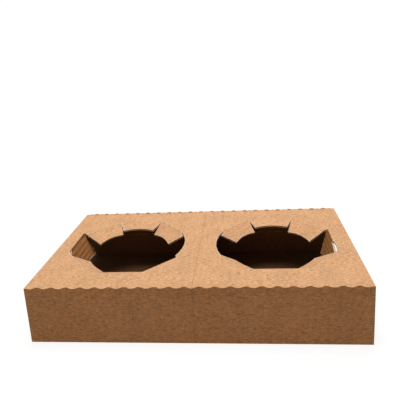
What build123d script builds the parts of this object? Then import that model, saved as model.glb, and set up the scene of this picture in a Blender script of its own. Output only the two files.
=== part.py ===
from build123d import *
from math import atan2, cos, degrees, floor, hypot, radians, sin, sqrt
import os

# A cup carrier for two cups, folded from one die-cut sheet of corrugated board.
# The sheet wraps round into an open-ended sleeve and is glued along a lap inside the back wall.
# Millimetres, +Z up. The origin is the middle of the footprint, on the surface the carrier stands on.
# X runs along the long folds, and the front wall faces -Y.

# Board
board = 1.5                  # thickness of the corrugated board

# Sleeve: its length and depth follow from the holes and the strips of board round them
hole_radius = 42.5           # round edge of a cup hole
web = 24.0                   # board left between the two holes
side_strip = 17.0            # board left in front of a hole and behind it
end_strip = 12.3             # board left between the right flap's fold and the open end
height = 38.5                # bottom face to top face
lean = 4.0                   # the sleeve is racked: its top has slid back over its bottom
lap_width = 20.0             # glued lap that stands up inside the back wall
lap_fold_radius = 1.2        # rounding of the fold between the bottom and the lap

# Wave-cut long folds: lobes of one panel stand between lobes of its neighbour
wave_pitch = 9.6             # from lobe to lobe of one panel
lobe_chord = 4.6             # length of a lobe along the fold
lobe_reach = 0.7             # how far a lobe stands past the fold
wave_margin = 0.4            # least plain fold between the last lobe and the open end

# Score line across the middle, where the flat carrier folds in half for packing
score_width = 1.6
score_depth = 0.15

# Tabs round a cup hole
tab_length = 13.6            # from the hole's round edge to the circle that trims the tabs
diagonal_angle = 45.3        # direction in which a diagonal tab's fold faces, from the X axis
back_setback = 2.0           # the diagonal folds at the back lie this far inside the round edge
back_centre_setback = 3.1    # and the back tab's fold this far inside it
left_outer_setback = 2.5     # the front diagonal fold next to the end flap, left hole
right_outer_setback = 1.0    # and right hole
left_inner_setback = -0.8    # the other front diagonal fold, left hole, torn on past the round edge
right_inner_setback = 1.0    # and right hole
left_centre_setback = 0.9    # fold of the front tab, left hole
right_centre_setback = 3.1   # and right hole
centre_tip_half = 12.6       # half width of a front or back tab at its tip
round_edge_angle = 26.0      # the plain round edge on the inner side spans this each way
front_slit_angle = 28.5      # but a front fold stops short of it, this far round, and a cut joins the two
free_edge_angle = 20.0       # a diagonal tab's free edge lies along this direction, from the X axis
cut = 0.2                    # width of each cut, counted on each side of a tab

# End flap of a cup hole
flap_half = 17.4             # half width of the flap where it meets the diagonal folds
left_flap_setback = 5.0      # its fold lies this far outside the end of the back diagonal fold, left hole
right_flap_setback = 3.2     # and right hole
left_flap_shoulder = 5.2     # the fold runs this far past that end, left hole
right_flap_shoulder = 2.6    # and right hole
left_hook = 9.0              # length of the hooked cut at the flap's front, left hole
right_hook = 16.4            # and right hole, where the cut has torn on
hook_bow = 0.07              # the hooked cut bows towards the open end by this share of its run

# Tilt of each tab below the top face, in degrees, in the order below, as the cups left them
tab_names = ("back_inner", "back_centre", "back_outer", "front_outer", "front_centre", "front_inner")
left_tilts = (23.0, 4.0, 20.0, 36.0, 55.0, 60.0)
right_tilts = (22.0, 2.0, 24.0, 31.0, 55.0, 33.0)
left_flap_tilt = 56.0
right_flap_tilt = 68.0


# Points of a hole and its tabs, from the hole's centre: u outwards to the open end, v to the back
def polar(radius, angle):
    return (radius * cos(radians(angle)), radius * sin(radians(angle)))


def flip(point, u_sign, v_sign):
    return (point[0] * u_sign, point[1] * v_sign)


def on_diagonal(v, setback):
    """Point at v of a diagonal fold on the outer back quarter, which lies setback inside the round edge."""
    reach = hole_radius - setback
    return ((reach - v * sin(radians(diagonal_angle))) / cos(radians(diagonal_angle)), v)


def round_side_end(setback, angle):
    """End of a diagonal fold beside the hole's round edge, at the angle."""
    return polar((hole_radius - setback) / cos(radians(diagonal_angle - angle)), angle)


# Worked out from the sizes above
tab_circle = hole_radius - tab_length
slit_tip_angle = degrees(atan2(sqrt(tab_circle ** 2 - centre_tip_half ** 2), centre_tip_half))
cut_angle = degrees(cut / tab_circle)
diagonal_end = on_diagonal(flap_half, back_setback)
left_flap_fold = diagonal_end[0] + left_flap_setback
right_flap_fold = diagonal_end[0] + right_flap_setback
length = web + 2 * (hole_radius + right_flap_fold + end_strip)
depth = 2 * (hole_radius + side_strip)
half = length / 2
hole_x = web / 2 + hole_radius
rack = atan2(lean, height)
wall_run = hypot(lean, height)
wall_step = board / cos(rack)
bottom_front = -(depth + lean) / 2
bottom_back = bottom_front + depth
top_front = bottom_front + lean
top_back = bottom_back + lean
top_middle = (top_front + top_back) / 2
left_flap_end = flap_half + left_flap_shoulder
right_flap_end = flap_half + right_flap_shoulder
left_flap_root = ((left_flap_fold, left_flap_end), (left_flap_fold, left_hook - flap_half))
right_flap_root = ((right_flap_fold, right_flap_end), (right_flap_fold, right_hook - flap_half))
left_front = (left_outer_setback, left_inner_setback, left_centre_setback)
right_front = (right_outer_setback, right_inner_setback, right_centre_setback)


def wave_places(shift):
    """Places of the lobes along a fold, a lobe at shift and one every pitch from it, clear of both ends."""
    reach = half - lobe_chord / 2 - wave_margin
    last = floor((reach + abs(shift)) / wave_pitch)
    places = [shift + k * wave_pitch for k in range(-last - 1, last + 2)]
    return [x for x in places if abs(x) <= reach]


panel_lobes = wave_places(0.0)
wall_lobes = wave_places(wave_pitch / 2)


def wavy_line(y, way, places):
    """One edge of a panel's outline at y, with a round lobe at each place that stands out to the side of way."""
    edges = []
    here = -half
    for x in places:
        start = (x - lobe_chord / 2, y)
        end = (x + lobe_chord / 2, y)
        edges.append(Line((here, y), start))
        edges.append(ThreePointArc(start, (x, y + way * lobe_reach), end))
        here = x + lobe_chord / 2
    edges.append(Line((here, y), (half, y)))
    return edges


def panel_face(low, high, low_places, high_places):
    """Flat outline of one panel between two folds, with the lobes of each fold."""
    edges = wavy_line(low, -1, low_places) + wavy_line(high, 1, high_places)
    edges.append(Line((-half, low), (-half, high)))
    edges.append(Line((half, low), (half, high)))
    return make_face(edges)


def wall_plane(y):
    """Plane of a racked wall's outer face, whose foot is at y."""
    return Plane(origin=(0, y, 0), x_dir=(1, 0, 0), z_dir=(0, -cos(rack), sin(rack)))


def chain(points):
    """Straight lines through the points."""
    return [Line(a, b) for a, b in zip(points, points[1:])]


def slit_root(setback, centre_setback):
    """Where a diagonal fold meets the fold of the tab beside it."""
    return on_diagonal(hole_radius - centre_setback, setback)


def hook_arc(start, outer_setback):
    """The hooked cut, from the flap's fold to the outer end of the front diagonal fold."""
    end = flip(on_diagonal(flap_half, outer_setback), 1, -1)
    run = hypot(end[0] - start[0], end[1] - start[1])
    bow = ((start[0] + end[0]) / 2 + hook_bow * run, (start[1] + end[1]) / 2)
    return ThreePointArc(start, bow, end), end


def hole_face(flap_root, outer_setback, inner_setback, centre_setback):
    """The opening in the top panel, up to the folds of its tabs and flap."""
    back_slit = slit_root(back_setback, back_centre_setback)
    outer_slit = slit_root(outer_setback, centre_setback)
    inner_slit = slit_root(inner_setback, centre_setback)
    round_end = polar(hole_radius, round_edge_angle)
    hook, hook_end = hook_arc(flap_root[1], outer_setback)
    back_end = round_side_end(back_setback, round_edge_angle)
    front_end = round_side_end(inner_setback, front_slit_angle)
    back = [flip(round_end, -1, 1), flip(back_end, -1, 1), flip(back_slit, -1, 1), back_slit,
            diagonal_end, *flap_root]
    front = [hook_end, flip(outer_slit, 1, -1), flip(inner_slit, -1, -1),
             flip(front_end, -1, -1), flip(round_end, -1, -1)]
    edges = chain(back) + chain(front) + [hook]
    edges.append(ThreePointArc(front[-1], (-hole_radius, 0), back[0]))
    return make_face(edges)


def tip_arc(start_angle, end_angle):
    """Arc of the circle that trims the tabs."""
    middle = (start_angle + end_angle) / 2
    return ThreePointArc(polar(tab_circle, start_angle), polar(tab_circle, middle), polar(tab_circle, end_angle))


def towards(start, end, step):
    """Point that lies step along the way from start to end."""
    run = hypot(end[0] - start[0], end[1] - start[1])
    return (start[0] + (end[0] - start[0]) * step / run, start[1] + (end[1] - start[1]) * step / run)


def centre_tab(outer_setback, inner_setback, centre_setback):
    """Outline and fold of the back tab, between the folds of an outer and an inner diagonal tab."""
    outer = slit_root(outer_setback, centre_setback)
    inner = slit_root(inner_setback, centre_setback)
    start = (cut - inner[0], inner[1])
    end = (outer[0] - cut, outer[1])
    tip = slit_tip_angle + cut_angle
    edges = [Line(start, end), Line(end, polar(tab_circle, tip)), tip_arc(tip, 180 - tip),
             Line(polar(tab_circle, 180 - tip), start)]
    return edges, (start, end)


def diagonal_tab(setback, centre_setback, round_side_angle=None):
    """Outline and fold of a diagonal tab on the outer back quarter, or of its mirror image on the inner one.

    An inner tab's fold ends at the given angle, beside the hole's round edge."""
    slit_end = slit_root(setback, centre_setback)
    flap_root = on_diagonal(flap_half, setback)
    root = towards(slit_end, flap_root, cut)
    slit_tip = slit_tip_angle - cut_angle
    free_tip = free_edge_angle + cut_angle
    edges = [Line(root, polar(tab_circle, slit_tip)), tip_arc(slit_tip, free_tip)]
    if round_side_angle:
        end = towards(round_side_end(setback, round_side_angle), slit_end, cut)
        inner = hole_radius - cut
        corner = polar(inner, free_tip)
        shoulder = polar(inner, round_edge_angle)
        middle = polar(inner, (free_tip + round_edge_angle) / 2)
        edges += [Line(polar(tab_circle, free_tip), corner), ThreePointArc(corner, middle, shoulder),
                  Line(shoulder, end)]
    else:
        end = towards(flap_root, slit_end, cut)
        edges.append(Line(polar(tab_circle, free_tip), end))
    edges.append(Line(end, root))
    return edges, (root, end)


def flap(flap_root, outer_setback):
    """Outline and fold of the end flap, which fills the outer side of the hole between the diagonal tabs."""
    tip = free_edge_angle - cut_angle
    hook_end = hook_arc(flap_root[1], outer_setback)[1]
    back = (flap_root[0][0], flap_root[0][1] - cut)
    elbow = (diagonal_end[0], diagonal_end[1] - cut)
    front = (flap_root[1][0], flap_root[1][1] + cut)
    knee = (hook_end[0] - cut, hook_end[1] + cut)
    edges = [Line(front, back), Line(back, elbow), Line(elbow, polar(tab_circle, tip)), tip_arc(tip, -tip),
             Line(polar(tab_circle, -tip), knee), Line(knee, front)]
    return edges, (back, front)


def bent_down(edges, fold, tilt):
    """Board inside the outline, bent down at the fold: it turns about the lower face and rounds the upper one."""
    low = height - board
    start = Vector(fold[0][0], fold[0][1], low)
    end = Vector(fold[1][0], fold[1][1], low)
    leaf = extrude(Pos(0, 0, low) * make_face(edges), amount=board)
    rise = Vector(0, 0, board)
    root_face = make_face(Polyline(start, end, end + rise, start + rise, close=True))
    # Seen along the axis, a positive turn lowers a leaf that lies on the axis's right
    centre = leaf.center()
    side = (end - start).cross(centre - start).Z
    axis = Axis(start, start - end) if side > 0 else Axis(start, end - start)
    knuckle = revolve(root_face, axis, revolution_arc=tilt)
    return [leaf.rotate(axis, tilt), knuckle]


def mirrored(outline, u_sign, v_sign):
    """The same outline and fold in another quarter of the hole."""
    edges, fold = outline
    moved = edges
    if u_sign < 0:
        moved = [mirror(e, about=Plane.YZ) for e in moved]
    if v_sign < 0:
        moved = [mirror(e, about=Plane.XZ) for e in moved]
    return moved, (flip(fold[0], u_sign, v_sign), flip(fold[1], u_sign, v_sign))


def hole_leaves(tilts, flap_tilt, flap_root, outer_setback, inner_setback, centre_setback):
    """All tabs and the flap of one hole, about the hole's own centre."""
    front_tab = centre_tab(outer_setback, inner_setback, centre_setback)
    outlines = {
        "back_inner": mirrored(diagonal_tab(back_setback, back_centre_setback, round_edge_angle), -1, 1),
        "back_centre": centre_tab(back_setback, back_setback, back_centre_setback),
        "back_outer": diagonal_tab(back_setback, back_centre_setback),
        "front_outer": mirrored(diagonal_tab(outer_setback, centre_setback), 1, -1),
        "front_centre": mirrored(front_tab, 1, -1),
        "front_inner": mirrored(diagonal_tab(inner_setback, centre_setback, front_slit_angle), -1, -1),
    }
    leaves = []
    for name, tilt in zip(tab_names, tilts):
        leaves += bent_down(*outlines[name], tilt)
    return leaves + bent_down(*flap(flap_root, outer_setback), flap_tilt)


def top_panel():
    """Top panel with its two holes, the left one a mirror image of the right one but for its front folds."""
    panel = extrude(Pos(0, 0, height) * panel_face(top_front, top_back, panel_lobes, panel_lobes), amount=-board)
    place = Pos(hole_x, top_middle, height - 2 * board)
    right_opening = place * extrude(hole_face(right_flap_root, *right_front), amount=3 * board)
    left_opening = place * extrude(hole_face(left_flap_root, *left_front), amount=3 * board)
    return panel - right_opening - mirror(left_opening, about=Plane.YZ)


def walls():
    """Front and back walls, racked together; the lower edges are pressed flat by the carrier's weight."""
    flat = panel_face(0, wall_run, [], wall_lobes)
    front = extrude(wall_plane(bottom_front) * flat, amount=wall_step, dir=(0, 1, 0))
    back = extrude(wall_plane(bottom_back) * flat, amount=wall_step, dir=(0, -1, 0))
    return front, back


def bottom_and_lap():
    """Bottom panel, and the lap that folds up from its back edge inside the back wall."""
    edge = bottom_back - wall_step
    bottom = extrude(panel_face(bottom_front, edge, panel_lobes, []), amount=board)
    strip = panel_face(0, lap_width, [], [])
    lap = extrude(wall_plane(edge) * strip, amount=wall_step, dir=(0, -1, 0))
    body = bottom + lap
    fold = body.edges().filter_by(Axis.X).filter_by(lambda e: abs(e.center().Z) < 1e-6).sort_by(Axis.Y)[-1]
    return fillet(fold, lap_fold_radius)


def score_wedges():
    """Wedges that press the score line into all four outer faces."""
    outline = [(-score_width / 2, 0), (score_width / 2, 0), (0, -score_depth)]
    wedge = make_face(Polyline(*outline, close=True))
    spare = 2 * lobe_reach
    top = Plane(origin=(0, top_front - spare, height), x_dir=(1, 0, 0), z_dir=(0, -1, 0))
    tools = [extrude(top * wedge, amount=-(depth + 2 * spare))]
    foot = Plane(origin=(0, bottom_front - spare, 0), x_dir=(-1, 0, 0), z_dir=(0, -1, 0))
    tools.append(extrude(foot * wedge, amount=-(depth + 2 * spare)))
    rise = (0, sin(rack), cos(rack))
    for y, way in ((bottom_front, 1), (bottom_back, -1)):
        section = Plane(origin=(0, y, 0), x_dir=(way, 0, 0), z_dir=rise)
        tools.append(extrude(section * wedge, amount=wall_run + spare))
    return tools


def carrier():
    """The whole folded sheet as one solid."""
    front, back = walls()
    body = bottom_and_lap() + front + back + top_panel()
    place = Pos(hole_x, top_middle, 0)
    right = [place * leaf for leaf in hole_leaves(right_tilts, right_flap_tilt, right_flap_root, *right_front)]
    left_leaves = hole_leaves(left_tilts, left_flap_tilt, left_flap_root, *left_front)
    left = [mirror(place * leaf, about=Plane.YZ) for leaf in left_leaves]
    body = body + right + left
    return body - score_wedges()


os.makedirs("parts", exist_ok=True)
piece = carrier()
export_step(piece, "parts/carrier.step")
box = piece.bounding_box()
print("carrier: length %.1f, depth %.1f, height %.1f" % (length, depth, height))
print("box", [round(v, 2) for v in (*box.min, *box.max)])
print("solids", len(piece.solids()), "volume %.0f mm3" % piece.volume)
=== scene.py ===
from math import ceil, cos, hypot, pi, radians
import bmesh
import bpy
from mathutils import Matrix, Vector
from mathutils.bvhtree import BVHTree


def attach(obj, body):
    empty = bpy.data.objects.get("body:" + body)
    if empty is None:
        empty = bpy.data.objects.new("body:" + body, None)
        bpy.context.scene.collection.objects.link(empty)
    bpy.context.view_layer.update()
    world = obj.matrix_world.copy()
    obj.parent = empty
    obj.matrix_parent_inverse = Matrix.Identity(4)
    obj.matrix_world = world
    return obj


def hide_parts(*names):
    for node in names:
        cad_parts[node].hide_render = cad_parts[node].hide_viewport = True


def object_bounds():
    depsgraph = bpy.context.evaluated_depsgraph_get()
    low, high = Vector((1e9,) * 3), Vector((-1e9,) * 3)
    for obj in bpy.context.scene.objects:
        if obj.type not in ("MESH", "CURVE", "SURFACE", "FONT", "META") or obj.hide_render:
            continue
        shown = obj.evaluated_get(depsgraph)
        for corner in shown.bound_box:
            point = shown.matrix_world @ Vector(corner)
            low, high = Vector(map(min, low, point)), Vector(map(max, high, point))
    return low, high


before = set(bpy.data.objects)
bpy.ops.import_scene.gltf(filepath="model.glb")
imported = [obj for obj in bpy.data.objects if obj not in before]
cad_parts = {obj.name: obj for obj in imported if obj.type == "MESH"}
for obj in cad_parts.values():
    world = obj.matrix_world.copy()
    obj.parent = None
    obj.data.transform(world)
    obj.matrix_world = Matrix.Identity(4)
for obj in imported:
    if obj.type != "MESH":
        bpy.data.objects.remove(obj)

# %% [markdown]
# # A cup carrier folded from corrugated board
#
# The object is a low sleeve of brown corrugated board with two round holes in its top. Tabs round each
# hole are bent down, so that they grip a paper cup, and a wider flap hangs at each outer end.
# The CAD model gives the folded shape. This script dresses it: the die-cut edges get their two liners
# with the fluted paper between them, and the faces get the look of kraft paper.
# Everything is in metres, in the CAD model's own frame.

MM = 0.001
cad_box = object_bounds()
cad_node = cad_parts["carrier"]
print("CAD box in mm:", [[round(v / MM, 1) for v in corner] for corner in cad_box])

# %% [markdown]
# ## The camera
#
# The photograph was taken from a little to the right of the middle and from above, with the lens
# near enough for clear perspective. A camera could be placed by eye, but here its place, turn and focal
# length were worked out from the carrier's corners and hole edges, so they are written as they came out.
# The frame is square. The small vertical shift stands for the cropping of the photograph.

# %% Camera
IMAGE_SIDE = 400
FOCAL_PIXELS = 415.34
AXIS_ROW = 177.58
CAMERA_PLACE = (0.03627, -0.2779, 0.18332)
TURN = radians(6.704)
LOOK_DOWN = radians(18.256)
ROLL = radians(-4.162)
camera = bpy.data.objects.new("camera", bpy.data.cameras.new("camera"))
bpy.context.scene.collection.objects.link(camera)
camera.data.sensor_width = 36
camera.data.lens = camera.data.sensor_width * FOCAL_PIXELS / IMAGE_SIDE
camera.data.shift_y = -(IMAGE_SIDE / 2 - AXIS_ROW) / IMAGE_SIDE
turned = Matrix.Rotation(TURN, 4, "Z")
tipped = Matrix.Rotation(pi / 2 - LOOK_DOWN, 4, "X")
rolled = Matrix.Rotation(ROLL, 4, "Z")
camera.matrix_world = Matrix.Translation(CAMERA_PLACE) @ turned @ tipped @ rolled
bpy.context.scene.camera = camera
print("camera lens in mm:", round(camera.data.lens, 2))

# %% [markdown]
# ## A workable copy of the board
#
# The CAD node's mesh is loose triangles. Merging a copy's doubles joins them into one closed skin, which
# later steps can sort, cut and inset. The CAD node itself is left alone, and this piece stands for it.

# %% Merge the copy
MERGE = 0.002 * MM
board = bmesh.new()
board.from_mesh(cad_node.data)
bmesh.ops.remove_doubles(board, verts=board.verts, dist=MERGE)
open_edges = [e for e in board.edges if len(e.link_faces) != 2]
print("board: %d faces, %d open edges" % (len(board.faces), len(open_edges)))

# %% [markdown]
# ## Telling paper from cut edge
#
# A sheet of board has two kinds of surface: the flat paper, called liner, and the raw edge that the die
# left. Seen from a liner, the far side is one board's thickness away, or two where the glued lap lies
# against the wall. Seen from a cut edge, it is much further. So a ray through the board sorts them.
# Faces that run smoothly into each other belong together, and each such group goes by its larger part.

# %% Groups of faces that run smoothly into each other
SMOOTH = radians(27)


def smooth_groups(mesh):
    """Lists of faces joined across edges at which the surface turns by less than SMOOTH."""
    waiting = set(mesh.faces)
    groups = []
    for seed in list(mesh.faces):
        if seed not in waiting:
            continue
        waiting.discard(seed)
        group = [seed]
        for face in group:
            for edge in face.edges:
                if len(edge.link_faces) != 2 or edge.calc_face_angle(pi) > SMOOTH:
                    continue
                for other in edge.link_faces:
                    if other in waiting:
                        waiting.discard(other)
                        group.append(other)
        groups.append(group)
    return groups


groups = smooth_groups(board)
print("groups:", len(groups))

# %% Sort the groups with rays
THICKNESS = 1.5 * MM
TWO_BOARDS = 2.2 * THICKNESS
RAY_START = 0.01 * MM
board_tree = BVHTree.FromBMesh(board)


def is_liner(group):
    """True where most of the group's area has the far side within two boards' thickness."""
    thin = 0.0
    thick = 0.0
    for face in group:
        start = face.calc_center_median() - face.normal * RAY_START
        distance = board_tree.ray_cast(start, -face.normal)[3]
        if distance is not None and distance < TWO_BOARDS:
            thin += face.calc_area()
        else:
            thick += face.calc_area()
    return thin > thick


liner_groups = [group for group in groups if is_liner(group)]
print("liner groups %d of %d" % (len(liner_groups), len(groups)))

# %% [markdown]
# ## The outer and the inner paper
#
# The sheet's outer liner shows on the sleeve's outside and on the upper side of every tab and flap. The
# inner liner shows inside the sleeve and on their lower side. Both could share one finish, but the inner
# liner is a darker paper, and its colour is darkened much further as painted shade, so that the inside is
# almost black; so each side gets its own material slot.

# %% Material slots by side
OUTER, INNER, CUT, GROOVE = 0, 1, 2, 3
WALL_Y = 50 * MM
WALL_FACING = 0.9
BOTTOM_Z = 3 * MM


def is_outer(face):
    """True where a liner face is on the outer side of the folded sheet."""
    centre = face.calc_center_median()
    if abs(centre.y) > WALL_Y and abs(face.normal.y) > WALL_FACING:
        return face.normal.y * centre.y > 0
    if centre.z < BOTTOM_Z:
        return face.normal.z < 0
    return face.normal.z > 0


for face in board.faces:
    face.material_index = CUT
for group in liner_groups:
    for face in group:
        face.material_index = OUTER if is_outer(face) else INNER
counts = [sum(f.material_index == slot for f in board.faces) for slot in (OUTER, INNER, CUT)]
print("faces by side: outer %d, inner %d, cut %d" % tuple(counts))

# %% [markdown]
# ## The long folds
#
# Round lobes stand out past the long folds: at the top those of one panel between those of the next, and
# at the front foot the bottom panel's alone. A ray into the board there often runs on through the next
# panel, so about half of these faces count as cut edge, which would leave a pale line along the fold. The
# photograph has plain outer paper there. So every face near a fold that looks outwards, lies at the very
# top, or is a cut that looks up, counts as outer paper. The end faces of the sleeve are left as they are.
# With every face sorted, flat neighbours of one kind are merged into one face.

# %% Give the folds the outer paper and merge flat faces
FOLD_ZONE = 54 * MM
TOP_Z = 38.2 * MM
END_FACING = 0.99
UNDERSIDE = -0.5
FLAT = radians(0.5)
for face in board.faces:
    centre = face.calc_center_median()
    if abs(centre.y) < FOLD_ZONE or abs(face.normal.x) > END_FACING or face.normal.z < UNDERSIDE:
        continue
    raised_cut = face.material_index == CUT and face.normal.z > 0
    if face.normal.y * centre.y > 0 or centre.z > TOP_Z or raised_cut:
        face.material_index = OUTER
bmesh.ops.dissolve_limit(board, angle_limit=FLAT, verts=board.verts, edges=board.edges,
                         delimit={"MATERIAL"})
counts = [sum(f.material_index == slot for f in board.faces) for slot in (OUTER, INNER, CUT)]
print("faces after dissolving: outer %d, inner %d, cut %d" % tuple(counts))

# %% [markdown]
# ## The lap shows as a second sheet
#
# Inside the back wall the sheet's last strip, the lap, is glued up against the wall. At each open end the
# section shows two boards side by side there. The CAD solid joins them, so the end faces are cut along
# the glue line, and the cut is opened, so that each board can get its own two liners. The plane of the
# cut also crosses the top panel's section, where there is no lap, so that part is dissolved again.

# %% Cut the end faces along the glue line
ABOVE_LAP = 30 * MM
half_length = max(v.co.x for v in board.verts)


def largest(faces):
    """The face with the largest area."""
    return max(faces, key=lambda f: f.calc_area())


def at_open_end(face):
    """True for the sleeve's end faces."""
    return abs(face.normal.x) > END_FACING and abs(face.calc_center_median().x) > half_length - MERGE


def with_edges_and_corners(faces):
    """The faces, then their edges and corners, each once and always in the same order."""
    edges = dict.fromkeys(e for f in faces for e in f.edges)
    corners = dict.fromkeys(v for f in faces for v in f.verts)
    return faces + list(edges) + list(corners)


back_wall = largest(f for f in board.faces if f.material_index == OUTER and f.normal.y > WALL_FACING)
wall_normal = back_wall.normal.copy()
glue_point = back_wall.verts[0].co - wall_normal * THICKNESS
ends = [f for f in board.faces if f.material_index == CUT and at_open_end(f)]
made = bmesh.ops.bisect_plane(board, geom=with_edges_and_corners(ends), dist=MERGE,
                              plane_co=glue_point, plane_no=wall_normal)
lines = [e for e in made["geom_cut"] if isinstance(e, bmesh.types.BMEdge) and len(e.link_faces) == 2]
lines = [e for e in lines if all(abs(f.normal.x) > END_FACING for f in e.link_faces)]
high = [e for e in lines if min(v.co.z for v in e.verts) > ABOVE_LAP]
glue_lines = [e for e in lines if e not in high]
print("glue lines in mm:", [[round(v.co.z / MM, 1) for v in e.verts] for e in glue_lines], len(high))
bmesh.ops.dissolve_edges(board, edges=high)
bmesh.ops.split_edges(board, edges=glue_lines)

# %% [markdown]
# ## The fluted paper
#
# Between the liners runs a third paper, bent into waves, the flutes. The stripes on the photograph's end
# flaps suggest that they run from front to back. So an edge that runs across them shows the wave, and an
# edge along them shows a plain line.
# One way is to draw the wave in the material. Here it is a real ribbon that follows each cut edge, so
# that it also shows from near and is part of the mesh itself. Each ribbon starts as a strip of faces
# along the edge, as wide as the paper is thick, and is extruded into the board.
# The wave's place is counted in the flat sheet. On the two end flaps, which hang down, that place is
# measured down along the flap from its fold, so that the waves go on round the bend.

# %% Where the wave lies
FLUTE_PITCH = 3.3 * MM
FLUTE_PHASE = 1.0
LINER = 0.24 * MM
FLUTING = 0.17 * MM
WAVE = (THICKNESS - 2 * LINER - FLUTING) / 2
LEFT_FOLD_X = 99.5 * MM
RIGHT_FOLD_X = 97.7 * MM
FLAP_FOLD_Z = 37.0 * MM
FLAP_FACING = 0.5


def across(point, face):
    """Place across the flutes in the flat sheet: x, but on the flaps measured along the flap."""
    fold_x = RIGHT_FOLD_X if point.x > 0 else LEFT_FOLD_X
    if abs(face.normal.x) < FLAP_FACING or abs(point.x) > fold_x or point.z < BOTTOM_Z:
        return point.x
    run = fold_x - hypot(abs(point.x) - fold_x, point.z - FLAP_FOLD_Z)
    return run if point.x > 0 else -run


def depth_in_board(place):
    """How far below the outer paper's surface the middle of the fluted paper lies."""
    return THICKNESS / 2 + WAVE * cos(2 * pi * place / FLUTE_PITCH + FLUTE_PHASE)


# %% [markdown]
# ## Which edges show the inside of the board
#
# The flutes show at the open ends and round the holes, tabs, slits and flaps. The lobes along the long
# folds are cut too, but the photograph shows no wave on them, so they stay plain. Each ribbon hangs from
# the outer liner. The lap is the one strip whose outer liner is hidden, glued against the wall, so there
# the ribbon hangs from the inner liner. The edges could be picked by hand, but this rule finds them all.

# %% Choose the edges that get a ribbon
LAP_TOP = 25 * MM


def on_long_fold(face):
    """True for the small cut faces along the long folds, which are left without flutes."""
    return abs(face.calc_center_median().y) > WALL_Y and not at_open_end(face)


def shows_fluting(edge):
    """The liner face and the cut face of an edge that gets a ribbon, or nothing."""
    if len(edge.link_faces) != 2:
        return None
    liner_face, cut_face = sorted(edge.link_faces, key=lambda f: f.material_index)
    if cut_face.material_index != CUT or liner_face.material_index == CUT or on_long_fold(cut_face):
        return None
    if liner_face.material_index == OUTER:
        return liner_face, cut_face
    faces_inwards = liner_face.normal.y < -WALL_FACING and edge.verts[0].co.y > WALL_Y
    at_lap = max(v.co.z for v in edge.verts) < LAP_TOP and abs(cut_face.normal.x) > END_FACING
    return (liner_face, cut_face) if faces_inwards and at_lap else None


# %% Build the ribbons
RIBBON_STEP = FLUTE_PITCH / 9
RECESS = 0.05 * MM
GROOVE_DEPTH = 0.25 * MM
ribbon = bmesh.new()
inwards = {}
for edge in board.edges:
    shown_faces = shows_fluting(edge)
    if shown_faces is None:
        continue
    liner_face, cut_face = shown_faces
    start, end = [v.co for v in edge.verts]
    run = abs(across(end, liner_face) - across(start, liner_face))
    steps = max(1, ceil(run / RIBBON_STEP))
    last = None
    for k in range(steps + 1):
        point = start.lerp(end, k / steps) - cut_face.normal * RECESS
        depth = depth_in_board(across(point, liner_face))
        rung = [ribbon.verts.new(point - liner_face.normal * (depth + side * FLUTING / 2))
                for side in (-1, 1)]
        for vert in rung:
            inwards[vert] = -cut_face.normal * (GROOVE_DEPTH - RECESS)
        if last:
            ribbon.faces.new((last[0], last[1], rung[1], rung[0]))
        last = rung
swept = bmesh.ops.extrude_face_region(ribbon, geom=ribbon.faces[:], use_keep_orig=True)
for vert in [v for v in swept["geom"] if isinstance(v, bmesh.types.BMVert)]:
    front = [e.other_vert(vert) for e in vert.link_edges if e.other_vert(vert) in inwards][0]
    vert.co = front.co + inwards[front]
bmesh.ops.recalc_face_normals(ribbon, faces=ribbon.faces)
print("fluted paper: %d faces" % len(ribbon.faces))

# %% [markdown]
# ## Grooves between the liners
#
# A cut edge isn't solid: the two liners stand up as thin rims and the space between them is hollow.
# Insetting the cut faces by one liner's thickness leaves the rims, and a second inset without thickness
# pushes the middle inwards. It could also be a boolean cut, but the inset follows every curve.
# At a sharp corner an even inset shoots out as a long spike. So every new corner that went too far from
# its old one is drawn back along the same line.

# %% An inset that can't shoot out at sharp corners
LONGEST_STEP = 1.45


def inset(mesh, faces, thickness, depth):
    """Inset the faces as one region; no new corner moves much further than the thickness or depth."""
    before = {v: v.co.copy() for f in faces for v in f.verts}
    made = bmesh.ops.inset_region(mesh, faces=faces, use_boundary=True, use_even_offset=True,
                                  thickness=thickness, depth=depth)
    inner = {v for f in faces for v in f.verts}
    outer = {v for f in made["faces"] for v in f.verts} - inner
    reach = LONGEST_STEP * max(thickness, abs(depth))
    held = 0
    for vert in inner:
        bases = [e.other_vert(vert).co for e in vert.link_edges if e.other_vert(vert) in outer]
        if vert in before:
            bases.append(before[vert])
        step = min((vert.co - base for base in bases), key=lambda s: s.length, default=None)
        if step and step.length > reach:
            vert.co += step.normalized() * reach - step
            held += 1
    print("inset of %.2f mm: %d corners held back" % (max(thickness, abs(depth)) / MM, held))
    return made["faces"]


# %% Inset the cut faces
cut_faces = [f for f in board.faces if f.material_index == CUT and not on_long_fold(f)]
inset(board, cut_faces, LINER, 0.0)
sunk = inset(board, cut_faces, 0.0, -GROOVE_DEPTH)
for face in cut_faces + sunk:
    face.material_index = GROOVE
bmesh.ops.remove_doubles(board, verts=board.verts, dist=MERGE)
print("board with grooves: %d faces" % len(board.faces))

# %% [markdown]
# ## Worn rims with a painted highlight
#
# The cutting die crushes the paper's edge a little. A narrow ring along the cut edges of the top, the
# tabs and the flaps, sunk by a few hundredths of a millimetre at the edge itself, makes that soft
# shoulder. The same ring carries a mark that the material paints pale: partly the wear of the crushed
# fibres and partly a painted highlight along the edge.
# The top panel's face runs from lobe to lobe, and an inset would break up at all those small arcs. So the
# face is first cut in three, and only the middle strip, which has the holes, gets the ring.

# %% Cut the strips with the lobes off the top face
FACES_UP = 0.999


def top_faces():
    """Faces of the outer liner that are level and look up."""
    return [f for f in board.faces if f.material_index == OUTER and f.normal.z > FACES_UP]


for side in (-1, 1):
    bmesh.ops.bisect_plane(board, geom=with_edges_and_corners(top_faces()), dist=MERGE,
                           plane_co=(0, side * FOLD_ZONE, 0), plane_no=(0, 1, 0))
level = top_faces()
print("level faces:", len(level))

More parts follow.
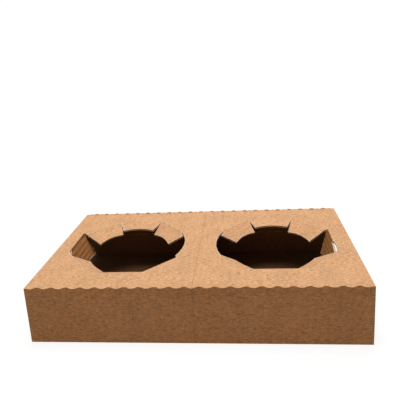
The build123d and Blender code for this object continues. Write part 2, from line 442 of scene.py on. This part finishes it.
# %% Inset the ring
RING = 0.6 * MM
outer_faces = [f for f in board.faces if f.material_index == OUTER and f.normal.z > 0
               and abs(f.calc_center_median().y) < FOLD_ZONE and f.calc_center_median().z > BOTTOM_Z
               and max(abs(v.co.y) for v in f.verts) < FOLD_ZONE + MERGE]
inset(board, outer_faces, RING, 0.0)

# %% [markdown]
# ## Flat again after the inset
#
# At the ends of the slits the top meets bent tabs, and the inset lifts some new corners out of their
# face. Moving each back by hand would do. Here no corner may stand above the top, and in every large
# face a corner that left the plane of the others is put back on it.

# %% Put the ring's corners back on their faces
LARGE_FACE = 30 * MM * MM
OFF_PLANE = 0.1 * MM
top_z = max(f.calc_center_median().z for f in level)
for vert in {v for f in outer_faces for v in f.verts}:
    vert.co.z = min(vert.co.z, top_z)
flattened = 0
for face in [f for f in outer_faces if f.calc_area() > LARGE_FACE]:
    face.normal_update()
    centre = face.calc_center_median()
    heights = sorted((v.co - centre).dot(face.normal) for v in face.verts)
    plane = heights[len(heights) // 2]
    for vert in face.verts:
        off = (vert.co - centre).dot(face.normal) - plane
        if abs(off) > OFF_PLANE:
            vert.co -= face.normal * off
            flattened += 1
print("corners put back on their face:", flattened)

# %% Mark the wear and the painted highlight, and press the edge down
CRUSH = 0.06 * MM
# This mark makes the material paint the rim pale, partly as wear and partly as a painted highlight.
wear_and_highlight = board.verts.layers.float.new("wear_and_highlight")
crushed = []
for vert in board.verts:
    slots = {f.material_index for f in vert.link_faces}
    large = any(f.calc_area() > LARGE_FACE for f in vert.link_faces if f.material_index != INNER)
    if CUT in slots and OUTER in slots and not large:
        vert[wear_and_highlight] = 1.0
        if abs(vert.co.y) > WALL_Y and abs(vert.co.x) < half_length - MERGE:
            continue
        normal = Vector()
        for face in vert.link_faces:
            if face.material_index == OUTER:
                normal += face.normal
        crushed.append((vert, normal.normalized() * -CRUSH))
for vert, move in crushed:
    vert.co += move
for vert in board.verts:
    vert.co.z = max(vert.co.z, cad_box[0][2])
print("worn rim: %d points" % len(crushed))

# %% [markdown]
# ## Two places where the photograph departs from the CAD model
#
# In the photograph no light shows between the left flap's back edge and the tab behind it, so here the
# flap's back part is spread towards the back. The foot of the front wall is a straight edge there, so its
# lobes are pressed flush with the wall. Both are changes to the look alone: the CAD model keeps its
# narrower flap and its lobes. Each vertex could be moved by hand. A rule of place and distance does the
# same for the board and for the fluted paper inside it, so that the two stay together.

# %% Spread the left flap towards the back
FLAP_POINT = Vector((-98.8 * MM, 0, 37.4 * MM))
FLAP_NORMAL = Vector((0.829, 0, 0.559))
FLAP_REACH = 1.7 * MM
FLAP_TIP_X = -86 * MM
SPREAD = 4.5 * MM
SPREAD_FROM_Y = 3 * MM
SPREAD_RUN_Y = 8.5 * MM
SPREAD_RUN_Z = 1.2 * MM
spread_points = 0
for vert in list(board.verts) + list(ribbon.verts):
    in_flap = abs((vert.co - FLAP_POINT).dot(FLAP_NORMAL)) < FLAP_REACH and vert.co.x < FLAP_TIP_X
    if in_flap and vert.co.y > SPREAD_FROM_Y and vert.co.z < FLAP_FOLD_Z:
        below = min((FLAP_FOLD_Z - vert.co.z) / SPREAD_RUN_Z, 1.0)
        aside = min((vert.co.y - SPREAD_FROM_Y) / SPREAD_RUN_Y, 1.0)
        vert.co.y += SPREAD * below * aside
        spread_points += 1
print("points of the left flap spread:", spread_points)

# %% Press the foot's lobes flush
STANDS_PROUD = 0.02 * MM
front_wall = largest(f for f in board.faces if f.material_index == OUTER and f.normal.y < -WALL_FACING)
wall_point = front_wall.calc_center_median()
flushed = 0
for vert in board.verts:
    proud = (vert.co - wall_point).dot(front_wall.normal)
    if vert.co.z < BOTTOM_Z and proud > STANDS_PROUD:
        vert.co -= front_wall.normal * proud
        vert.co.z = max(vert.co.z, cad_box[0][2])
        flushed += 1
for vert in ribbon.verts:
    vert.co.z = max(vert.co.z, cad_box[0][2])
print("points of the foot pressed flush:", flushed)

# %% [markdown]
# ## Smooth curves and sharp corners
#
# Small faces belong to rounded bends and cut edges and are shaded smooth. The large ones are flat paper
# and stay flat. An edge where the surface turns by more than about a third of a right angle stays sharp.
# A bevel could soften the corners instead, but paper that has just been cut has none.

# %% Shade the curves smooth and the corners sharp
SHARP = radians(32)
for face in board.faces:
    face.smooth = face.calc_area() < LARGE_FACE
for edge in board.edges:
    edge.smooth = len(edge.link_faces) == 2 and edge.calc_face_angle(0) < SHARP

# %% [markdown]
# ## Coordinates of the flat sheet
#
# The flutes belong to the flat sheet, not to the folded shape. So each face corner keeps its place across
# the flutes, counted in the sheet. Two marks go with it. One is for the end flaps, which look crushed,
# with stripes that are taken for the flutes; it also carries the flaps' painted shade. The other is for
# the bends of tabs and flaps, where the paper is creased and the material paints shade. All three could
# be painted on a UV map, but as values in the mesh they follow every curve and need no picture.

# %% Attributes for the materials
FLAP_INSIDE = 78 * MM
FLAP_WIDE = 23 * MM
BEND_FACING = 0.2


def on_end_flap(face):
    """True for both papers of the two end flaps."""
    centre = face.calc_center_median()
    return (abs(face.normal.x) > FLAP_FACING and face.material_index in (OUTER, INNER)
            and abs(centre.x) > FLAP_INSIDE and abs(centre.y) < FLAP_WIDE)


def on_bend(face):
    """True for the outer paper's narrow faces on the bends of tabs and flaps."""
    centre = face.calc_center_median()
    return (face.material_index == OUTER and abs(centre.y) < FOLD_ZONE and centre.z > BOTTOM_Z
            and BEND_FACING < face.normal.z < FACES_UP and face.calc_area() < LARGE_FACE
            and max(v[wear_and_highlight] for v in face.verts) < 0.5)


mesh = bpy.data.meshes.new("carrier_board")
flat_x = board.loops.layers.float.new("across")
# The flap mark also makes the material paint the end flaps darker: painted shade.
crushed_and_shaded_flap = board.loops.layers.float.new("crushed_and_shaded_flap")
# The bend mark makes the material paint shade on the bends of tabs and flaps.
crease = board.loops.layers.float.new("crease")
bends = 0
for face in board.faces:
    flap_mark = 1.0 if on_end_flap(face) else 0.0
    bend_mark = 1.0 if on_bend(face) else 0.0
    bends += bend_mark > 0
    for loop in face.loops:
        loop[flat_x] = across(loop.vert.co, face)
        loop[crushed_and_shaded_flap] = flap_mark
        loop[crease] = bend_mark
print("faces on the bends of tabs and flaps:", bends)
board.to_mesh(mesh)
board.free()
ribbon_mesh = bpy.data.meshes.new("fluted_paper")
ribbon.to_mesh(ribbon_mesh)
ribbon.free()

# %% [markdown]
# ## The two pieces
#
# The board and the fluted paper are one sheet on the real carrier, so both ride on the same body. The
# board stands for the CAD node. They could be one mesh, but two keep the wavy paper easy to find.

# %% Make the pieces
carrier_board = bpy.data.objects.new("carrier_board", mesh)
fluted_paper = bpy.data.objects.new("fluted_paper", ribbon_mesh)
for piece in (carrier_board, fluted_paper):
    bpy.context.scene.collection.objects.link(piece)
    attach(piece, "root")
    piece.data.calc_loop_triangles()
    print(piece.name, "triangles:", len(piece.data.loop_triangles))
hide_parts("carrier")

# %% [markdown]
# ## Kraft paper as a node group
#
# Unbleached paper is cloudy: fibres clump into faint blotches, lie mostly in one direction and carry dark
# and light flecks. Every paper of the board has this, in other strengths, so it is one node group with
# named inputs. An image of paper could be used instead, but a procedural one has no tiling and no limit
# of sharpness.

# %% Helpers for node trees


def add(tree, kind, **settings):
    """A new node with its settings."""
    node = tree.nodes.new(kind)
    for name, value in settings.items():
        setattr(node, name, value)
    return node


def link(tree, source, target):
    """Joins an output socket to an input socket."""
    tree.links.new(source, target)


def attribute(tree, name):
    """The value of a mesh attribute."""
    return add(tree, "ShaderNodeAttribute", attribute_name=name).outputs["Fac"]


def sockets(group, inputs, outputs):
    """Named sockets of a node group, inputs as name, type and default."""
    for name, kind, default in inputs:
        socket = group.interface.new_socket(name, in_out="INPUT", socket_type=kind)
        socket.default_value = default
    for name, kind in outputs:
        group.interface.new_socket(name, in_out="OUTPUT", socket_type=kind)


def maths(tree, operation, first, second=None, third=None):
    """A Math node; each operand is a socket or a number."""
    node = add(tree, "ShaderNodeMath", operation=operation)
    for place, value in enumerate((first, second, third)):
        if value is None:
            continue
        if isinstance(value, (int, float)):
            node.inputs[place].default_value = value
        else:
            link(tree, value, node.inputs[place])
    return node.outputs[0]


def noise(tree, vector, scale, detail=2.0, roughness=0.5):
    """Noise between 0 and 1 with features of about one over scale, in metres."""
    node = add(tree, "ShaderNodeTexNoise")
    link(tree, vector, node.inputs["Vector"])
    node.inputs["Scale"].default_value = scale
    node.inputs["Detail"].default_value = detail
    node.inputs["Roughness"].default_value = roughness
    return node.outputs["Fac"]


def shade(tree, colour, factor):
    """The colour times one plus the factor."""
    node = add(tree, "ShaderNodeVectorMath", operation="SCALE")
    link(tree, colour, node.inputs[0])
    link(tree, maths(tree, "ADD", factor, 1.0), node.inputs["Scale"])
    return node.outputs[0]


# %% The kraft fibre group
CLOUD_SCALE = 75
STRAND_SCALE = 1300
STRAND_STRETCH = (0.28, 1.0, 1.0)
GRAIN_SCALE = 950
DARK_FROM, DARK_GAIN = 0.6, -1.6
LIGHT_FROM, LIGHT_GAIN = 0.4, 1.2
GRAIN_HEIGHT = 0.5
PAPER_ROUGHNESS, ROUGHNESS_SPREAD = 0.82, 0.3
fibre = bpy.data.node_groups.new("kraft_fibre", "ShaderNodeTree")
sockets(fibre,
        [("Color", "NodeSocketColor", (0.66, 0.37, 0.18, 1)), ("Blotch", "NodeSocketFloat", 0.12),
         ("Fibre", "NodeSocketFloat", 0.14), ("Fleck", "NodeSocketFloat", 0.5)],
        [("Color", "NodeSocketColor"), ("Height", "NodeSocketFloat"), ("Roughness", "NodeSocketFloat")])
group_in = add(fibre, "NodeGroupInput")
group_out = add(fibre, "NodeGroupOutput")
place = add(fibre, "ShaderNodeTexCoord").outputs["Object"]
stretch = add(fibre, "ShaderNodeMapping")
stretch.inputs["Scale"].default_value = STRAND_STRETCH
link(fibre, place, stretch.inputs["Vector"])
cloud = maths(fibre, "SUBTRACT", noise(fibre, place, CLOUD_SCALE, 3.0), 0.5)
strand = maths(fibre, "SUBTRACT", noise(fibre, stretch.outputs[0], STRAND_SCALE, 3.0, 0.6), 0.5)
grain = noise(fibre, place, GRAIN_SCALE, 2.0, 0.7)
above = maths(fibre, "MAXIMUM", maths(fibre, "SUBTRACT", grain, DARK_FROM), 0.0)
below = maths(fibre, "MAXIMUM", maths(fibre, "SUBTRACT", LIGHT_FROM, grain), 0.0)
dark = maths(fibre, "MULTIPLY", above, DARK_GAIN)
light = maths(fibre, "MULTIPLY", below, LIGHT_GAIN)
total = maths(fibre, "MULTIPLY", cloud, group_in.outputs["Blotch"])
total = maths(fibre, "MULTIPLY_ADD", strand, group_in.outputs["Fibre"], total)
fleck = maths(fibre, "ADD", dark, light)
total = maths(fibre, "MULTIPLY_ADD", fleck, group_in.outputs["Fleck"], total)
link(fibre, shade(fibre, group_in.outputs["Color"], total), group_out.inputs["Color"])
height = maths(fibre, "MULTIPLY_ADD", grain, GRAIN_HEIGHT, strand)
link(fibre, height, group_out.inputs["Height"])
roughness = maths(fibre, "MULTIPLY_ADD", strand, ROUGHNESS_SPREAD, PAPER_ROUGHNESS)
link(fibre, roughness, group_out.inputs["Roughness"])
print("nodes of the fibre group:", len(fibre.nodes))

# %% [markdown]
# ## Flutes, bends and the middle score in painted shade
#
# The liner is glued to the tops of the flutes and sinks a little between them, so faint ridges run from
# front to back over the whole carrier; their stripes of light and shade are painted into the colour, with
# a bump for the ridges. On the crushed flaps the stripes are strong, and uneven, because no two flutes
# give way alike. The bends get painted shade, and so does the score line across the middle, where the
# flat carrier is thought to fold in half for packing. One wave texture over the whole part could not
# turn down the flaps. So the group reads the three values of the flat sheet, and gives one painted shade
# that a colour is darkened or lightened by, and one height.

# %% The group of painted shade for flutes, bends and the middle score
MIDDLE_LINE = 0.8 * MM
WANDER_SCALE, WANDER = 160, 1.6
UNEVEN_SCALE, UNEVEN_GAIN, UNEVEN_START = 110, 3.2, -0.7
BEND_SHADE, BEND_HEIGHT = -0.4, -0.6
MIDDLE_SHADE, MIDDLE_HEIGHT = -0.15, -0.6
stripes = bpy.data.node_groups.new("flute_bend_and_score_painted_shade", "ShaderNodeTree")
sockets(stripes, [("Plain", "NodeSocketFloat", 0.05), ("Crushed", "NodeSocketFloat", 0.5)],
        [("Shade", "NodeSocketFloat"), ("Height", "NodeSocketFloat")])
group_in = add(stripes, "NodeGroupInput")
group_out = add(stripes, "NodeGroupOutput")
flat_place = attribute(stripes, "across")
crushed_here = attribute(stripes, "crushed_and_shaded_flap")
bent_here = attribute(stripes, "crease")
place = add(stripes, "ShaderNodeTexCoord").outputs["Object"]
wander = maths(stripes, "SUBTRACT", noise(stripes, place, WANDER_SCALE), 0.5)
turns = maths(stripes, "MULTIPLY", flat_place, 2 * pi / FLUTE_PITCH)
phase = maths(stripes, "MULTIPLY_ADD", wander, WANDER, turns)
wave = maths(stripes, "COSINE", maths(stripes, "ADD", phase, FLUTE_PHASE))
gain = maths(stripes, "SUBTRACT", group_in.outputs["Crushed"], group_in.outputs["Plain"])
gain = maths(stripes, "MULTIPLY_ADD", gain, crushed_here, group_in.outputs["Plain"])
patches = noise(stripes, place, UNEVEN_SCALE)
uneven = maths(stripes, "MULTIPLY_ADD", patches, UNEVEN_GAIN, UNEVEN_START)
shown = maths(stripes, "MULTIPLY", maths(stripes, "MULTIPLY", wave, gain), uneven)
from_middle = maths(stripes, "ABSOLUTE", flat_place)
from_middle = maths(stripes, "MULTIPLY_ADD", from_middle, -1 / MIDDLE_LINE, 1.0)
middle_line = maths(stripes, "MAXIMUM", from_middle, 0.0)
# Stripes, bends and the middle score darken or lighten the colour as painted shade; the same values give
# the bump.
for output, on_bends, on_middle in (("Shade", BEND_SHADE, MIDDLE_SHADE),
                                    ("Height", BEND_HEIGHT, MIDDLE_HEIGHT)):
    with_bends = maths(stripes, "MULTIPLY_ADD", bent_here, on_bends, shown)
    with_middle = maths(stripes, "MULTIPLY_ADD", middle_line, on_middle, with_bends)
    link(stripes, with_middle, group_out.inputs[output])
print("nodes of the stripe group:", len(stripes.nodes))

# %% [markdown]
# ## The materials
#
# Four finishes share the groups: the outer liner, the inner liner, a darker paper with painted shade
# that makes the inside almost black, the pale raw rim of a cut, paler still as a painted highlight, and
# the fluted paper. Bumps come from the same noises as the colours, so that a fleck is also felt.
# The outer liner has two more effects. Along the worn rim it turns pale, broken up by noise as real wear
# is; the paleness is partly wear and partly a painted highlight. On the end flaps, which are far darker
# than the top, it gets a dark tint of painted shade.
# Each finish could be a tree of its own, but one function keeps them alike.

# %% Build a paper material
PAPER_SHINE = 0.25
# Noise that breaks up the pale rim, which is partly wear and partly a painted highlight.
WEAR_AND_HIGHLIGHT_SCALE, WEAR_AND_HIGHLIGHT_GAIN, WEAR_AND_HIGHLIGHT_START = 400, 1.2, 0.25


def paper(name, colour, blotch, fibre_amount, fleck_amount, bump,
          plain_stripe=0.0, crushed_stripe=0.0, rim_wear_and_highlight=None, flap_painted_shade=None):
    """Kraft paper from the two groups, with a painted highlight on the worn rim and painted shade on the
    flaps.
    """
    material = bpy.data.materials.new(name)
    material.use_nodes = True
    tree = material.node_tree
    shader = tree.nodes["Principled BSDF"]
    shader.inputs["Specular IOR Level"].default_value = PAPER_SHINE
    grain_node = add(tree, "ShaderNodeGroup", node_tree=fibre)
    grain_node.inputs["Color"].default_value = colour + (1,)
    grain_node.inputs["Blotch"].default_value = blotch
    grain_node.inputs["Fibre"].default_value = fibre_amount
    grain_node.inputs["Fleck"].default_value = fleck_amount
    stripe_node = add(tree, "ShaderNodeGroup", node_tree=stripes)
    stripe_node.inputs["Plain"].default_value = plain_stripe
    stripe_node.inputs["Crushed"].default_value = crushed_stripe
    # The group's shade is painted shade of the flute ridges, the bends and the middle score.
    result = shade(tree, grain_node.outputs["Color"], stripe_node.outputs["Shade"])
    # On the end flaps the colour is multiplied darker: painted shade.
    if flap_painted_shade:
        tint = add(tree, "ShaderNodeMix", data_type="RGBA", blend_type="MULTIPLY")
        link(tree, attribute(tree, "crushed_and_shaded_flap"), tint.inputs["Factor"])
        link(tree, result, tint.inputs["A"])
        tint.inputs["B"].default_value = flap_painted_shade + (1,)
        result = tint.outputs["Result"]
    # The rim's pale colour is partly wear of the crushed fibres and partly a painted highlight.
    if rim_wear_and_highlight:
        coordinates = add(tree, "ShaderNodeTexCoord").outputs["Object"]
        broken = maths(tree, "MULTIPLY_ADD", noise(tree, coordinates, WEAR_AND_HIGHLIGHT_SCALE), WEAR_AND_HIGHLIGHT_GAIN, WEAR_AND_HIGHLIGHT_START)
        mask = maths(tree, "MINIMUM", maths(tree, "MULTIPLY", attribute(tree, "wear_and_highlight"), broken), 1.0)
        mix = add(tree, "ShaderNodeMix", data_type="RGBA")
        link(tree, mask, mix.inputs["Factor"])
        link(tree, result, mix.inputs["A"])
        mix.inputs["B"].default_value = rim_wear_and_highlight + (1,)
        result = mix.outputs["Result"]
    link(tree, result, shader.inputs["Base Color"])
    link(tree, grain_node.outputs["Roughness"], shader.inputs["Roughness"])
    bump_node = add(tree, "ShaderNodeBump")
    bump_node.inputs["Distance"].default_value = bump
    total_height = maths(tree, "ADD", grain_node.outputs["Height"], stripe_node.outputs["Height"])
    link(tree, total_height, bump_node.inputs["Height"])
    link(tree, bump_node.outputs["Normal"], shader.inputs["Normal"])
    return material


# %% Give the materials to the pieces
OUTSIDE = (0.665, 0.372, 0.19)
# The inner liner's colour: a darker paper, darkened far further as painted shade of the sleeve's inside.
INSIDE_PAPER_AND_PAINTED_SHADE = (0.11, 0.045, 0.014)
# The pale rim colour: partly the raw fibre's own and partly a painted highlight on cut edges and ring.
RAW_RIM_AND_HIGHLIGHT = (0.86, 0.68, 0.50)
FLUTED = (0.70, 0.50, 0.33)
# Painted shade that darkens the steep end flaps, which get little light.
FLAP_PAINTED_SHADE = (0.47, 0.34, 0.19)
liner_outside = paper("kraft_liner_outside", OUTSIDE, blotch=0.35, fibre_amount=1.5, fleck_amount=3.0,
                      bump=0.03 * MM, plain_stripe=0.015, crushed_stripe=0.3,
                      rim_wear_and_highlight=RAW_RIM_AND_HIGHLIGHT, flap_painted_shade=FLAP_PAINTED_SHADE)
# The inner liner material carries that painted shade, also on the lower side of tabs and flaps.
liner_inside_and_painted_shade = paper("kraft_liner_inside_and_painted_shade", INSIDE_PAPER_AND_PAINTED_SHADE, blotch=0.35, fibre_amount=1.1, fleck_amount=2.6,
                     bump=0.03 * MM, plain_stripe=0.015, crushed_stripe=0.15)
# The raw cut edge is painted pale, partly its own fibre and partly a painted highlight.
raw_rim_and_highlight = paper("raw_cut_edge_and_highlight", RAW_RIM_AND_HIGHLIGHT, blotch=0.1, fibre_amount=0.6, fleck_amount=1.5, bump=0.05 * MM)
fluting_paper = paper("fluting_paper", FLUTED, blotch=0.1, fibre_amount=0.5, fleck_amount=1.5,
                      bump=0.03 * MM)
for material in (liner_outside, liner_inside_and_painted_shade, raw_rim_and_highlight, fluting_paper):
    mesh.materials.append(material)
ribbon_mesh.materials.append(fluting_paper)
print("materials of the board:", [material.name for material in mesh.materials])

# %% [markdown]
# ## A floor that the camera sees as white
#
# The photograph's ground is pure white, so the floor is white to the camera and to glossy and
# transmitted rays, and keeps a soft shadow. A white floor would throw light up at the carrier. In the
# photograph the front is far darker than the top, so the floor itself is grey, and its white is a glow
# that only those rays see. Near the carrier the glow is weaker, so that the shadow shows, and it rises
# to full white half a metre away, so that floor and background meet without a line. The world is white
# to the same rays and otherwise only a faint warm light.

# %% Floor
FLOOR_SIDE = 6
FLOOR_GREY = (0.22, 0.21, 0.20)
NEAR, FAR = 0.2, 0.5
NEAR_GLOW, FAR_GLOW = 0.84, 1.0


def seen_white(tree, plain, strength):
    """White to camera, glossy and transmission rays on top of the plain shader."""
    rays = add(tree, "ShaderNodeLightPath")
    seen = maths(tree, "MAXIMUM", rays.outputs["Is Camera Ray"], rays.outputs["Is Glossy Ray"])
    seen = maths(tree, "MAXIMUM", seen, rays.outputs["Is Transmission Ray"])
    glow = add(tree, "ShaderNodeEmission")
    link(tree, maths(tree, "MULTIPLY", seen, strength), glow.inputs["Strength"])
    both = add(tree, "ShaderNodeAddShader")
    link(tree, plain, both.inputs[0])
    link(tree, glow.outputs[0], both.inputs[1])
    return both.outputs[0]


bpy.ops.mesh.primitive_plane_add(size=FLOOR_SIDE)
floor = bpy.context.object
floor.name = "floor"
ground = bpy.data.materials.new("white_floor")
ground.use_nodes = True
tree = ground.node_tree
floor_shader = tree.nodes["Principled BSDF"]
floor_shader.inputs["Base Color"].default_value = FLOOR_GREY + (1,)
floor_shader.inputs["Roughness"].default_value = 1.0
floor_shader.inputs["Specular IOR Level"].default_value = 0.0
distance = add(tree, "ShaderNodeVectorMath", operation="LENGTH")
link(tree, add(tree, "ShaderNodeTexCoord").outputs["Object"], distance.inputs[0])
away = add(tree, "ShaderNodeMapRange", interpolation_type="SMOOTHSTEP")
for socket, value in (("From Min", NEAR), ("From Max", FAR), ("To Min", NEAR_GLOW), ("To Max", FAR_GLOW)):
    away.inputs[socket].default_value = value
link(tree, distance.outputs["Value"], away.inputs["Value"])
floor_surface = seen_white(tree, floor_shader.outputs[0], away.outputs[0])
link(tree, floor_surface, tree.nodes["Material Output"].inputs["Surface"])
floor.data.materials.append(ground)
print("floor side in metres:", FLOOR_SIDE)

# %% World
SKY_TINT = (1.0, 0.9, 0.8)
SKY_STRENGTH = 0.03
world = bpy.data.worlds.new("world")
bpy.context.scene.world = world
world.use_nodes = True
tree = world.node_tree
sky = tree.nodes["Background"]
sky.inputs["Color"].default_value = SKY_TINT + (1,)
sky.inputs["Strength"].default_value = SKY_STRENGTH
link(tree, seen_white(tree, sky.outputs[0], 1.0), tree.nodes["World Output"].inputs["Surface"])
print("sky strength:", SKY_STRENGTH)

# %% [markdown]
# ## Lamps
#
# The top is bright and the front far darker, which one large soft lamp above gives. A weaker lamp in
# front, low and warm, lifts the front wall to the brown of the photograph.
# A picture of a studio could light the carrier as well, but two lamps are easier to set.

# %% Lamps
AIM = (0, 0, 0.02)


def soft_lamp(name, place, side, energy, colour):
    """A square area lamp that faces the carrier."""
    lamp = bpy.data.objects.new(name, bpy.data.lights.new(name, "AREA"))
    lamp.data.size = side
    lamp.data.energy = energy
    lamp.data.color = colour
    lamp.location = place
    lamp.rotation_euler = (Vector(AIM) - Vector(place)).to_track_quat("-Z", "Y").to_euler()
    bpy.context.scene.collection.objects.link(lamp)
    print(name, "energy in watts:", energy)


soft_lamp("key_above", place=(0.0, 0.2, 1.2), side=0.8, energy=16.2, colour=(1.0, 1.0, 1.0))
soft_lamp("fill_front", place=(0.0, -1.0, 0.25), side=0.6, energy=1.9, colour=(1.0, 0.66, 0.36))
bpy.context.scene.view_settings.view_transform = "Standard"
